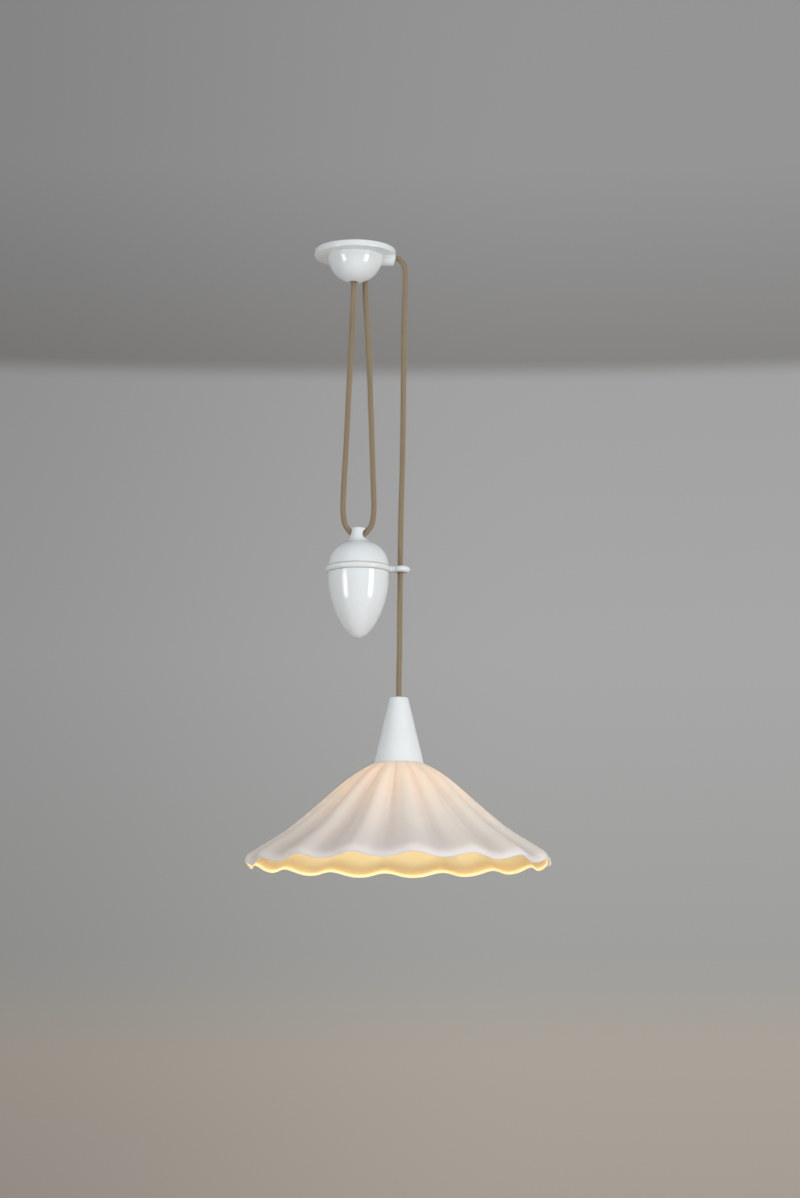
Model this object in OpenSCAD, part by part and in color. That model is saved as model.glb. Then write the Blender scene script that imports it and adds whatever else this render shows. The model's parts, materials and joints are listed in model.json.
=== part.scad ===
// Rise and fall pendant: a fluted bone china shade on a braided cord that runs over a wheel in
// the ceiling rose and hangs in a loop with a porcelain counterweight.
// Millimetres. The origin is the middle of the ceiling plate where it meets the ceiling, +Z is
// up, and +X points from the rose to the lamp.

/* [Cord] */
// Diameter of the braided cord
cord_d = 7.4; // [6:0.1:7.6]
// Gap between the cord and what guides it
cord_gap = 0.5; // [0.3:0.1:0.7]

/* [Ceiling plate] */
// Diameter of the steel plate
plate_d = 82; // [78:0.5:88]
// Thickness of the steel plate
plate_t = 1.6; // [1.2:0.1:2]
// Height of the plate's turned down skirt
skirt_h = 4.6; // [4:0.1:5]
// Thickness of the skirt
skirt_t = 1.6; // [1.2:0.1:2]
// Distance between the two ceiling screws
ceiling_screw_pitch = 60; // [56:0.5:62]
// Width of the slots for the ceiling screws
slot_w = 4.5; // [4:0.1:5]
// Length of the slots for the ceiling screws
slot_l = 10; // [8:0.5:12]
// Diameter of the hole for the supply cable
cable_hole_d = 12; // [10:0.5:13]

/* [Ceiling rose] */
// Diameter of the flange
rose_d = 110; // [104:1:118]
// Height of the flange
flange_h = 8.6; // [8:0.1:10]
// Shadow gap between the flange and the ceiling
ceiling_gap = 1.2; // [0.8:0.1:1.5]
// Radius of the round bowl
bowl_r = 37; // [36.5:0.1:39]
// Depth of the bowl's centre below the ceiling
bowl_drop = 8.5; // [8:0.1:9.5]
// Thickness of the bowl's wall
bowl_wall = 4; // [3:0.1:4.2]
// Radius of the boss that the lamp's cord leaves by
boss_r = 9.5; // [8.5:0.1:11]
// Radius of the hole that the running leg of the cord passes
running_hole_r = 6; // [5:0.1:6.5]
// Radius of the hole that the fixed leg of the cord passes
fixed_hole_r = 5.6; // [4.8:0.1:6]
// Diameter of the two grub screws that hold the rose
grub_d = 3; // [2.5:0.1:3.2]

/* [Rose wheel] */
// Radius from the wheel's axle to the middle of the cord
wheel_pitch_r = 12.8; // [12.2:0.1:13]
// Height of the wheel's flanges above its groove
wheel_flange_h = 5; // [4:0.1:5.5]
// Thickness of each flange of the wheel
wheel_rim_t = 0.6; // [0.5:0.1:0.8]
// Diameter of the axle
axle_d = 4; // [3:0.1:5]
// Thickness of the bracket's steel
bracket_t = 1; // [0.8:0.1:1.2]

/* [Counterweight] */
// Distance from the rose's axis to the counterweight's axis
weight_x = 5.2; // [4.8:0.1:5.6]
// Depth of the neck's top below the ceiling
neck_top_drop = 383.3; // [382.8:0.1:383.8]
// Radius of the neck's top
neck_r = 9.3; // [9:0.1:11]
// Depth of the dome's middle plane below the ceiling
dome_drop = 440; // [439:0.1:441]
// Radius of the dome
dome_r = 41; // [39:0.5:43]
// Height of the dome's crown above its middle plane
dome_h = 39.5; // [39:0.1:40.5]
// Thickness of the counterweight's porcelain
weight_wall = 4; // [3:0.1:5]
// Thickness of the guide ring
ring_t = 8; // [7:0.1:9]
// Radius over the ring's rounded bead
bead_r = 44.2; // [43:0.1:47]
// Distance from the counterweight's axis to the eye in the arm
eye_reach = 56.8; // [56:0.1:58]
// Radius of the eye
eye_r = 7; // [6.8:0.1:8]
// Width of the arm that carries the eye
arm_w = 18; // [14:0.5:20]
// Depth of the egg from the ring to its tip
egg_h = 88; // [80:0.5:96]
// Radius of the egg
egg_r = 40.4; // [39:0.1:42]
// Thickness of the cork seals
seal_t = 0.6; // [0.5:0.1:1]
// Diameter of the stud that holds the counterweight together
stud_d = 8; // [6:0.5:9]

/* [Cone] */
// Distance from the rose's axis to the lamp's axis
lamp_x = 59; // [58.8:0.1:59.3]
// Depth of the cone's top below the ceiling
cone_top_drop = 611; // [610:0.5:612]
// Height of the cone
cone_h = 87; // [84:0.5:96]
// Radius of the cone's top
cone_top_r = 12.4; // [12:0.1:14]
// Radius of the cone's foot
cone_foot_r = 32.6; // [32:0.1:34]
// Thickness of the cone's wall
cone_wall = 3.2; // [2.5:0.1:3.6]

/* [Shade] */
// Number of flutes
flutes = 16; // [12:1:20]
// Height of a flute's ridge above its valley at the rim
flute_depth = 8; // [4:0.5:11]
// Angle from the front to the nearest ridge
flute_turn = 5.3; // [0:0.1:22]
// Thickness of the shade's china
shade_t = 2.4; // [2:0.1:3]
// Thickness of the shade's flat crown
crown_t = 3.2; // [2.6:0.1:4]

/* [Lampholder] */
// Radius of the lampholder's threaded body
holder_r = 19.5; // [18.5:0.1:20]
// Radius of the shoulder that rests on the shade
shoulder_r = 25.5; // [24:0.1:26.5]
// Radius of the ring that holds the shade
shade_ring_r = 28; // [25:0.5:31]
// Thickness of the washers on both sides of the shade
washer_t = 0.8; // [0.5:0.1:1.2]
// Radius of the brass screw shell's bore
shell_bore_r = 13.5; // [13.4:0.05:13.6]
// Radius of the bulb's glass
bulb_r = 30; // [27:0.5:32]
// Length of the bulb from its contact to its tip
bulb_l = 106; // [100:1:112]

/* [Hidden] */

PORCELAIN = [0.86, 0.88, 0.88];
CHINA = [0.93, 0.88, 0.83];
BRAID = [0.55, 0.48, 0.35];
STEEL = [0.62, 0.63, 0.65];
BRASS = [0.80, 0.66, 0.36];
PLASTIC = [0.16, 0.16, 0.17];
NYLON = [0.90, 0.89, 0.84];
CORK = [0.66, 0.52, 0.36];
LEAD = [0.42, 0.43, 0.45];
OPAL = [0.98, 0.96, 0.90];

smooth = 96; // facets of large round pieces
small = 32; // facets of small round pieces
through = 1; // how far a cut runs past the face that it leaves
fit = 0.05; // radial gap of a screw or pin in its hole
short = 0.1; // how far a screw or rivet ends short of the face behind it
seat = 0.3; // gap between pieces that meet on a curved face
cord_r = cord_d / 2;
guide_r = cord_r + cord_gap; // radius of a hole or groove that guides the cord

// Ceiling plate
plate_r = plate_d / 2;
plate_z = -plate_t; // underside of the plate
skirt_z = plate_z - skirt_h;
lug_angles = [240, 300];
lug_w = 12; // width of a lug that hooks into the rose
lug_t = 1.4;
lug_reach = 2.2;
cable_hole = [-14, -19];

// Ceiling rose
rose_r = rose_d / 2;
flange_z = -ceiling_gap - flange_h; // underside of the flange
edge_r = 1.6; // rounding of the flange's edge
root_r = 1.5; // fillet between the flange and the bowl
plate_gap = 0.6; // radial gap round the plate's skirt
ledge_z = skirt_z - seat; // ledge that the skirt stands over
hollow_r = bowl_r - bowl_wall;
grub_angles = [60, 120];
grub_z = plate_z - skirt_h / 2;
grub_recess = 1.5; // depth of a grub screw's head below the flange's edge
boss_z = -12.3; // height of the boss's axis
boss_face_drop = 3.6; // how far the boss's end face is square below the flange
boss_slope = 3.3; // how far the end face draws in at its foot
boss_edge = 1; // chamfer at the foot of the end face
boss_root = 1; // how far into the bowl's wall the boss starts
outlet_lead = 8; // length of the outlet's bore inside the bowl's wall
grub_point = 1; // length of a grub screw inside the plate's skirt

// Rose wheel
outlet_z = -9; // height of the cord's run to the outlet
running_x = -2; // the running leg of the cord below the wheel
fixed_leg = [13.5, 10.2]; // the fixed leg of the cord, behind the wheel
axle_x = running_x + wheel_pitch_r;
axle_z = outlet_z - wheel_pitch_r;
groove_r = wheel_pitch_r - cord_r - seat; // radius of the groove's bottom
wheel_r = groove_r + wheel_flange_h;
wheel_half_w = cord_r + seat + wheel_rim_t;
wheel_dish = 1.6; // depth of the recess in each face of the wheel
cheek_y = wheel_half_w + 0.2; // inner face of a bracket cheek
cheek_end_r = axle_d / 2 + 3; // round end of a cheek below the axle
bracket_l = 22;
rivet_x = 7; // distance of a rivet from the axle
rivet_r = 1.5;
rivet_head = [2.7, 1.9, 1.2]; // radius at the bracket, radius at the end, height
wheel_band_t = 1.6; // thickness of the wheel's rim under its groove
wheel_hub_t = 2; // thickness of the wheel's hub
axle_head_l = 0.8; // end of the axle in front of the clip
clip_t = 0.8;
clip_w = 1.8; // how far the clip stands out from the axle
clip_seat_r = axle_d / 2 - 0.4; // bottom of the clip's groove
clip_mouth = clip_seat_r * 1.6; // width of the clip's open side
lip_x = 47; // where the cord starts to bend over the outlet's lip
lip_bend = 20.5; // radius of the cord's bend over the lip
lip_cut_r = lip_bend + cord_gap - seat;

// Connections in the rose
block = [12, 24, 11]; // terminal block
block_x = -27;
block_y = -9;
block_foot_t = 3; // foot that joins the three ways
way_pitch = 8; // distance between two ways of the block
way_w = 6.8; // width of a way
way_drop = 6; // the ways' bores below the plate
way_z = plate_z - way_drop;
way_gap = 0.4; // radial gap of a core in its way
way_screw_r = 1.5;
way_screw_x = 3; // distance of a screw from the end of its way
way_screw_sink = 1; // depth of a screw's head in its way
earth_screw_at = [4, -20];
earth_screw_r = 2;
earth_head = [3.8, 2.4]; // radius and height of the head
flex_gap = 0.1; // gap between the flex and what clamps it
flex_z = plate_z - cord_r - flex_gap; // height of the clamped flex
clamp = [5, 19, 2.4];
clamp_x = -8.5;
clamp_foot = flex_z - cord_r - flex_gap - clamp.z;
clamp_screw_y = 6.5; // distance of a clamp screw from the flex
clamp_screw_r = 1.5;
clamp_head = [2.3, 1.8]; // radius and height of the head
core_r = 1; // insulated core
core_pitch = 2.2; // distance between two cores in the end of the flex
core_lift = [-0.8, 1.2, -0.8]; // height of each core over the flex's middle
core_bow = [3.5, -1.2, 0.2]; // how much lower the middle of each core hangs than its ends
core_lead = 1.2; // straight length of a core outside the flex, and outside the block
core_bite = 2; // length of a core inside the block

// Counterweight
neck_z = -neck_top_drop;
dome_z = -dome_drop;
dome_power = 2.3; // how full the dome's curve is
neck_edge_r = 1.4;
neck_foot_r = 15.3;
neck_foot_z = dome_z + dome_h * 0.975;
saddle_bend = 14.8; // radius of the cord's bend in the neck
saddle_cut_r = saddle_bend + cord_gap - seat;
scoop_r = 8.4; // scooped side of the neck where the running leg leaves
scoop_x = 14;
scoop_drop = 9.2; // middle of the scoop below the neck's top
scoop_z = neck_z - scoop_drop;
dome_start = 0.93; // share of the dome's height where its curve leaves the neck
dome_floor_t = 2; // how much thicker the dome is at its top
ring_rise = 0.5; // height of the ring's middle over the dome's middle plane
ring_top = dome_z + ring_t / 2 + ring_rise;
ring_bottom = ring_top - ring_t;
cap_foot = ring_top + seal_t;
egg_top = ring_bottom - seal_t;
egg_straight = 5.5; // straight part of the egg below its top
egg_point = 0.3; // 0 is half an ellipse, more is more pointed
ring_bore_r = 30;
seal_inset = 1; // how far a seal stays inside the porcelain's edge
bush_r = 8;
bush_l = 11.5;
bush_end = 0.5; // room over the bush
boss_rise = 17; // foot of the boss that holds the bush above the cap's foot
boss_bottom = cap_foot + boss_rise;
stud_r = stud_d / 2;
stud_bite = 10; // length of the stud in the bush
stud_top = boss_bottom + stud_bite;
ballast_top = egg_top - 3;
ballast_gap = 0.4;
stud_hole_z = ballast_top - egg_h / 2; // bottom of the stud's hole in the weight
stud_end = 1; // room under the stud
nut_r = stud_d * 0.92;
nut_h = stud_d * 0.65;
arm_r = ring_t / 2; // the arm and the eye are rounded to their full height
arm_root = ring_bore_r + 4; // where the arm starts inside the ring
eye_band = 1; // flat width of the eye's rim between its bore and its rounded edge

// Lamp
cone_top = -cone_top_drop;
cone_foot = cone_top - cone_h;
cone_cap_t = 5; // thickness of the cone's top
cone_edge_r = 1.2; // rounding of the cone's top edge
cone_foot_edge = [0.5, 0.4]; // chamfer at the cone's foot
crown_r = cone_foot_r + 1.4; // edge of the shade's flat crown
crown_fillet = 1.5; // how far inside that edge the crown's underside ends
crown_hole_r = holder_r + 0.8;
crown_under = cone_foot - crown_t;
shoulder_z = cone_foot + washer_t;
shoulder_t = 3.4;
body_rise = 20; // height of the body over its shoulder's foot
body_drop = 21; // depth of the body below the shade's crown
body_top = shoulder_z + body_rise;
body_bottom = crown_under - body_drop;
washer_inset = 0.5; // how far a washer stays inside the edge over it
ring_z = crown_under - washer_t;
shade_ring_t = 6;
ring_notch_r = 1.4; // notches for the fingers round the ring
ring_notch_depth = 0.8;
ring_lip_t = 1; // height of the ring's edge over the notches
insert_r = holder_r - 2.3; // ceramic insert inside the body
block_sink = 4; // depth of the contact block below the body's rim
block_t = 9; // thickness of the contact block
block_top = body_top - block_sink;
block_bottom = block_top - block_t;
terminal_y = 10; // distance of a terminal from the lamp's axis
terminal_r = 1.5;
terminal_depth = 6;
terminal_head = [2.8, 1.8]; // radius and height of the head
terminal_end = 0.2; // room under a terminal screw
tongue = [10, 5, 0.6]; // sprung contact under the block
tongue_tip = [2, 2.5, 2.6]; // radius at its point, radius at its root, height
shell_t = 0.5;
shell_over = 1; // how much longer the shell is than the bulb's cap
nipple_r = 6.5;
nipple_sink = 6; // length of the nipple in the holder's cap
holder_cap_h = 22;
holder_cap_t = 2; // wall of the holder's cap
holder_cap_collar = 3; // wall round the nipple
holder_cap_skirt = 5; // straight height at the foot of the holder's cap
grip_r = 9;
grip_h = 15;
grip_step = 1.5; // how much narrower the grip's upper part is
grip_screw_r = 1.5;
grip_screw_z = 4.5; // height of the screw over the grip's foot
grip_top_gap = 6.2; // room between the grip and the inside of the cone's top
nipple_top = cone_top - cone_cap_t - grip_top_gap - grip_h;
cord_end_gap = 4; // distance of the cord's end from the contact block
bulb_gap = 3.2; // distance between the contact block and the bulb's contact
bulb_top = block_bottom - bulb_gap;
cap_r = shell_bore_r - 0.25; // radius of the bulb's cap
cap_l = 25;
cap_t = 0.5; // wall of the bulb's cap
cap_cone_h = 3.6; // height of the cap's drawn in end
cap_end_r = 7;
contact_r = 5;
contact_top_r = 4.2;
contact_h = 1.4;
bulb_neck_r = cap_r - 0.6;
bulb_neck_in = 1; // how far the neck stands over the cap's edge
bulb_neck_l = 4; // straight part of the neck
bulb_flare = [2.2, 14]; // how much wider the neck is, and where, below its top
bulb_join = 40; // angle at which the globe starts
glass_t = 0.9;
bulb_tip = bulb_top - bulb_l;

// Ridge line of the shade: radius, and depth below the flat crown
ridge_line = [
    [34, 0.6], [49, 8.6], [72, 24.6], [108, 55.8], [146, 87.2], [184, 111.4],
    [196, 118.6], [200.4, 123.6], [201, 130]
];
flute_lean = [0.55, -0.835]; // direction in which the flutes rise, outward and up
ring_steps = 2; // rings of the shade between two points of the ridge line
wave_steps = 8; // facets over one flute

// Routes of the cord: points on its middle line, chosen by hand
bend_steps = 6;
over_wheel_route = concat(
    [[running_x, 0, -42], [running_x, 0, -32]],
    [for (i = [0:bend_steps]) let (a = 180 - 90 * i / bend_steps)
        [axle_x + wheel_pitch_r * cos(a), 0, axle_z + wheel_pitch_r * sin(a)]],
    [[30, 0, outlet_z], [lip_x, 0, outlet_z]]
);
terminal_route = [
    [13.5, 10.2, -42], [13.5, 10.2, -17.4], [12.6, 10.2, -12.8], [10, 10.2, -8.9],
    [6.1, 10.2, -6.3], [1.5, 10.2, flex_z], [-9.7, 10.2, flex_z]
];
flex_end = terminal_route[len(terminal_route) - 1];
loop_route = [
    [-2, 0, -42], [-2, 0, -52], [-3.1, 0, -85], [-4.2, 0, -110], [-5.4, 0, -135],
    [-6.5, 0, -160], [-7.6, 0, -185], [-8.7, 0, -210], [-9.8, 0, -235], [-11, 0, -260],
    [-12.2, 0, -285], [-13.6, 0, -310], [-14.8, 0, -335], [-15.4, 0, -355],
    [-14.6, 0, -369], [-12, 0, -379.5], [-8, 0, -386], [-5, 0, -389.9], [-2.4, 0, -391.8],
    [1.4, 0, -393.2], [5.2, 0, -393.7], [9, 0, -393.2], [12.8, 0, -391.8],
    [15.4, 0, -389.9], [18.4, 0, -386], [22.4, 0, -379.5], [25, 0, -369], [25.8, 0.1, -355],
    [25.3, 0.3, -335], [24.5, 0.7, -310], [23.7, 1.2, -285], [22.8, 1.9, -260],
    [22, 2.8, -235], [21, 3.8, -210], [20.2, 4.9, -185], [19.2, 6, -160],
    [18, 7.2, -135], [16.6, 8.4, -110], [15, 9.4, -85], [13.5, 10.2, -52], [13.5, 10.2, -42]
];
saddle_z = min([for (p = loop_route) p.z]); // middle of the cord at the bottom of the loop
drop_route = [
    [47, 0, -9], [48.5, 0, -9], [52.3, 0, -9.7], [57.3, 0, -11.7], [61.5, 0, -15], [64.8, 0, -19.2],
    [66.8, 0, -24.2], [67.5, 0, -31], [67.6, 0, -45], [67.1, 0, -70], [66.2, 0, -100],
    [65.7, 0, -130], [65.4, 0, -160], [65.1, 0, -190], [64.9, 0, -220], [64.5, 0, -250],
    [64, 0, -280], [63.4, 0, -310], [62.6, 0, -338], [61.8, 0, -365], [61.3, 0, -392],
    [61, 0, -420], [60.8, 0, -448], [60.5, 0, -475], [60.2, 0, -505], [60, 0, -535],
    [59.6, 0, -565], [59.1, 0, -587], [59, 0, -600], [59, 0, -611]
];

// Points of an arc from angle a0 to a1
function arc(x, y, r, a0, a1, n = 8) =
    [for (i = [0:n]) let (a = a0 + (a1 - a0) * i / n) [x + r * cos(a), y + r * sin(a)]];

// Unit vector
function unit(v) = v / norm(v);

// Direction of a route at point i
function heading(route, i) =
    unit(route[min(i + 1, len(route) - 1)] - route[max(i - 1, 0)]);

// Ring of points round a route at point i; the route never runs along up
function tube_ring(route, i, r, sides, up) =
    let (
        t = heading(route, i),
        across = unit(cross(up, t)),
        side = cross(t, across)
    )
    [for (k = [0:sides - 1]) let (a = 360 * k / sides)
        route[i] + r * (cos(a) * across + sin(a) * side)];

// Round tube along a route
module tube(route, r, sides = 10, up = [0, 1, 0]) {
    rings = len(route);
    points = [for (i = [0:rings - 1]) each tube_ring(route, i, r, sides, up)];
    walls = [
        for (i = [0:rings - 2], k = [0:sides - 1])
        let (a = i * sides + k, b = i * sides + (k + 1) % sides)
        each [[a, b, b + sides], [a, b + sides, a + sides]]
    ];
    start = [for (k = [sides - 1:-1:0]) k];
    end = [for (k = [0:sides - 1]) (rings - 1) * sides + k];
    polyhedron(points, concat([start], walls, [end]));
}

// Flat ring between two radii
module washer(outer, inner, h, fn = smooth) {
    difference() {
        cylinder(r = outer, h = h, $fn = fn);
        translate([0, 0, -through]) cylinder(r = inner, h = h + 2 * through, $fn = fn);
    }
}

// Cheese head screw with its head down and its shank pointing up
module screw(head_r, head_h, shank_r, shank_l) {
    difference() {
        union() {
            translate([0, 0, -head_h]) cylinder(r = head_r, h = head_h, $fn = small);
            translate([0, 0, -head_h / 2])
                cylinder(r = shank_r, h = shank_l + head_h / 2, $fn = small);
        }
        translate([-head_r - through, -head_r / 7, -head_h - through])
            cube([2 * (head_r + through), head_r / 3.5, head_h * 0.4 + through]);
    }
}

// ---- Ceiling rose ----

// Steel plate that is screwed to the ceiling and carries everything else
module mounting_plate() {
    color(STEEL) difference() {
        union() {
            translate([0, 0, plate_z]) cylinder(r = plate_r, h = plate_t, $fn = smooth);
            translate([0, 0, skirt_z])
                washer(plate_r, plate_r - skirt_t, skirt_h + plate_t / 2);
            for (a = lug_angles)
                rotate([0, 0, a])
                    translate([plate_r - skirt_t / 2, -lug_w / 2, skirt_z])
                        cube([skirt_t / 2 + lug_reach, lug_w, lug_t]);
        }
        for (side = [-1, 1])
            translate([0, side * ceiling_screw_pitch / 2, plate_z - through])
                ceiling_slot();
        translate([cable_hole.x, cable_hole.y, plate_z - through])
            cylinder(d = cable_hole_d, h = plate_t + 2 * through, $fn = small);
        for (a = grub_angles)
            rotate([0, 0, a])
                translate([plate_r - 2 * skirt_t, 0, grub_z])
                    rotate([0, 90, 0])
                        cylinder(r = grub_d / 2 + fit, h = 4 * skirt_t, $fn = small);
        for (x = [axle_x - rivet_x, axle_x + rivet_x])
            translate([x, 0, plate_z - through])
                cylinder(r = rivet_r + fit, h = plate_t + 2 * through, $fn = small);
        for (side = [-1, 1])
            translate([clamp_x + clamp.x / 2, fixed_leg.y + side * clamp_screw_y,
                plate_z - through])
                cylinder(r = clamp_screw_r + fit, h = plate_t + 2 * through, $fn = small);
        earth_screw_place() translate([0, 0, -through])
            cylinder(r = earth_screw_r + fit, h = plate_t + 2 * through, $fn = small);
        outlet_notch();
    }
}

// Slot for a ceiling screw, along Y
module ceiling_slot() {
    reach = (slot_l - slot_w) / 2;
    h = plate_t + 2 * through;
    for (side = [-1, 1])
        translate([0, side * reach, 0]) cylinder(d = slot_w, h = h, $fn = small);
    translate([-slot_w / 2, -reach, 0]) cube([slot_w, 2 * reach, h]);
}

// Gap in the skirt where the cord runs out
module outlet_notch() {
    translate([plate_r - 2 * skirt_t, -guide_r, skirt_z - through])
        cube([4 * skirt_t, 2 * guide_r, skirt_h + through]);
}

// Outline of the rose without its hollow
function rose_outline() = concat(
    [[0, -ceiling_gap]],
    arc(rose_r - edge_r, -ceiling_gap - edge_r, edge_r, 90, 0, 5),
    arc(rose_r - edge_r, flange_z + edge_r, edge_r, 0, -90, 5),
    arc(bowl_side(flange_z - root_r) + root_r, flange_z - root_r, root_r, 90, 180, 4),
    arc(0, -bowl_drop, bowl_r, asin((flange_z - root_r + bowl_drop) / bowl_r) - 4, -90, 22)
);

// Radius of the bowl at height z
function bowl_side(z) = sqrt(bowl_r * bowl_r - pow(z + bowl_drop, 2));

// Hollow of the rose: the seat of the plate, the groove for its lugs and the round room
function rose_hollow() = concat(
    [[0, through], [plate_r + plate_gap, through], [plate_r + plate_gap, skirt_z + lug_t + seat],
        [plate_r + lug_reach + plate_gap, skirt_z + lug_t + seat],
        [plate_r + lug_reach + plate_gap, ledge_z], [hollow_r, ledge_z]],
    arc(0, -bowl_drop, hollow_r, 0, -90, 20)
);

// Boss under the flange that leads the cord out towards the lamp
module outlet_boss() {
    face_z = flange_z - boss_face_drop;
    foot_z = boss_z - boss_r;
    foot_r = rose_r - boss_slope;
    root = hollow_r + boss_root;
    intersection() {
        union() {
            translate([bowl_r / 2, 0, boss_z])
                rotate([0, 90, 0]) cylinder(r = boss_r, h = rose_r, $fn = smooth);
            translate([bowl_r / 2, -boss_r, boss_z])
                cube([rose_r, 2 * boss_r, -boss_z - ceiling_gap - edge_r]);
        }
        rotate_extrude($fn = smooth) polygon([
            [root, -ceiling_gap - edge_r], [rose_r, -ceiling_gap - edge_r],
            [rose_r, face_z], [foot_r, foot_z + boss_edge],
            [foot_r - boss_edge, foot_z], [root, foot_z]
        ]);
    }
}

// Porcelain rose
module ceiling_rose() {
    color(PORCELAIN) difference() {
        union() {
            rotate_extrude($fn = smooth) polygon(rose_outline());
            outlet_boss();
        }
        rotate_extrude($fn = smooth) polygon(rose_hollow());
        translate([hollow_r - outlet_lead, 0, outlet_z])
            rotate([0, 90, 0])
                cylinder(r = guide_r, h = lip_x - hollow_r + outlet_lead, $fn = small);
        translate([lip_x, 0, outlet_z - lip_bend])
            rotate([90, 0, 0])
                rotate_extrude(angle = 90, $fn = smooth)
                    translate([lip_cut_r, 0]) circle(r = guide_r, $fn = small);
        translate([running_x, 0, -bowl_drop - bowl_r - through])
            cylinder(r = running_hole_r, h = bowl_r / 2, $fn = small);
        translate([fixed_leg.x, fixed_leg.y, -bowl_drop - bowl_r - through])
            cylinder(r = fixed_hole_r, h = bowl_r / 2, $fn = small);
        for (a = grub_angles)
            rotate([0, 0, a])
                translate([plate_r - skirt_t, 0, grub_z])
                    rotate([0, 90, 0])
                        cylinder(r = grub_d / 2 + 2 * fit, h = rose_r, $fn = small);
    }
}

// Grub screws that hold the back of the rose to the plate's skirt
module rose_grub_screws() {
    start = plate_r - skirt_t - grub_point;
    l = rose_r - grub_recess - start;
    color(STEEL)
        for (a = grub_angles)
            rotate([0, 0, a])
                translate([start, 0, grub_z])
                    rotate([0, 90, 0])
                        difference() {
                            cylinder(r = grub_d / 2, h = l, $fn = small);
                            translate([0, 0, l - grub_d * 0.7])
                                cylinder(r = grub_d * 0.29, h = grub_d, $fn = 6);
                        }
}

// Steel fork that holds the wheel
module wheel_bracket() {
    half_w = cheek_y + bracket_t;
    color(STEEL) difference() {
        union() {
            translate([axle_x - bracket_l / 2, -half_w, plate_z - bracket_t])
                cube([bracket_l, 2 * half_w, bracket_t]);
            for (y = [-half_w, cheek_y]) bracket_cheek(y);
        }
        for (x = [-rivet_x, rivet_x])
            translate([axle_x + x, 0, plate_z - bracket_t - through])
                cylinder(r = rivet_r + fit, h = bracket_t + 2 * through, $fn = small);
        translate([axle_x, half_w + through, axle_z])
            rotate([90, 0, 0])
                cylinder(r = axle_d / 2 + fit, h = 2 * (half_w + through), $fn = small);
    }
}

// One cheek of the fork, from height y outwards, drawn in to a round end at the axle
module bracket_cheek(y) {
    top = plate_z - bracket_t;
    translate([0, y + bracket_t, 0]) rotate([90, 0, 0]) {
        linear_extrude(bracket_t) polygon([
            [axle_x - bracket_l / 2, top], [axle_x - cheek_end_r, axle_z],
            [axle_x + cheek_end_r, axle_z], [axle_x + bracket_l / 2, top]
        ]);
        translate([axle_x, axle_z, 0]) cylinder(r = cheek_end_r, h = bracket_t, $fn = small);
    }
}

// Rivets that join the fork to the plate
module bracket_rivets() {
    color(STEEL)
        for (x = [axle_x - rivet_x, axle_x + rivet_x])
            translate([x, 0, plate_z - bracket_t]) {
                translate([0, 0, -rivet_head.z])
                    cylinder(r1 = rivet_head.y, r2 = rivet_head.x, h = rivet_head.z, $fn = small);
                cylinder(r = rivet_r, h = bracket_t + plate_t - short, $fn = small);
            }
}

// Grooved wheel, drawn on its axle
module rose_wheel() {
    color(NYLON) translate([axle_x, wheel_half_w, axle_z]) rotate([90, 0, 0])
        difference() {
            cylinder(r = wheel_r, h = 2 * wheel_half_w, $fn = smooth);
            translate([0, 0, -through])
                cylinder(r = axle_d / 2 + fit, h = 2 * (wheel_half_w + through), $fn = small);
            translate([0, 0, wheel_half_w]) rotate_extrude($fn = smooth) groove_section();
            for (z = [-through, 2 * wheel_half_w - wheel_dish])
                translate([0, 0, z])
                    washer(groove_r - wheel_band_t, axle_d / 2 + wheel_hub_t, wheel_dish + through);
        }
}

// Half round groove that opens outwards
module groove_section() {
    groove = cord_r + seat;
    translate([wheel_pitch_r, 0]) circle(r = groove, $fn = small);
    translate([wheel_pitch_r, -groove]) square([wheel_r, 2 * groove]);
}

// Axle, riveted flush in the rear cheek and held by a clip at the front
module wheel_axle() {
    front = cheek_y + bracket_t;
    color(STEEL) translate([axle_x, front, axle_z]) rotate([90, 0, 0]) {
        cylinder(r = axle_d / 2, h = 2 * front + fit, $fn = small);
        translate([0, 0, 2 * front])
            cylinder(r = clip_seat_r, h = clip_t + 4 * fit, $fn = small);
        translate([0, 0, 2 * front + clip_t + 3 * fit])
            cylinder(r = axle_d / 2, h = axle_head_l, $fn = small);
    }
}

// Clip on the front end of the axle
module axle_clip() {
    front = cheek_y + bracket_t;
    color(STEEL) translate([axle_x, -front - 2 * fit, axle_z]) rotate([90, 0, 0])
        difference() {
            cylinder(r = axle_d / 2 + clip_w, h = clip_t, $fn = small);
            translate([0, 0, -through])
                cylinder(r = clip_seat_r + fit, h = clip_t + 2 * through, $fn = small);
            translate([0, -clip_mouth / 2, -through])
                cube([axle_d / 2 + clip_w + through, clip_mouth, clip_t + 2 * through]);
        }
}

// Place of way number i in the terminal block
function way_y(i) = block_y + block.y / 2 + (i - 1) * way_pitch;

// Screwed block where the supply joins the flex
module terminal_block() {
    color(NYLON) difference() {
        union() {
            for (i = [0:2])
                translate([block_x, way_y(i) - way_w / 2, plate_z - block.z])
                    cube([block.x, way_w, block.z - block_foot_t / 2]);
            translate([block_x, block_y, plate_z - block_foot_t])
                cube([block.x, block.y, block_foot_t]);
        }
        for (i = [0:2])
            translate([block_x - through, way_y(i), way_z])
                rotate([0, 90, 0])
                    cylinder(r = core_r + way_gap, h = block.x + 2 * through, $fn = small);
        for (i = [0:2], x = [way_screw_x, block.x - way_screw_x])
            translate([block_x + x, way_y(i), plate_z - block.z - through])
                cylinder(r = way_screw_r + fit, h = way_z - plate_z + block.z + through, $fn = small);
    }
}

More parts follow.
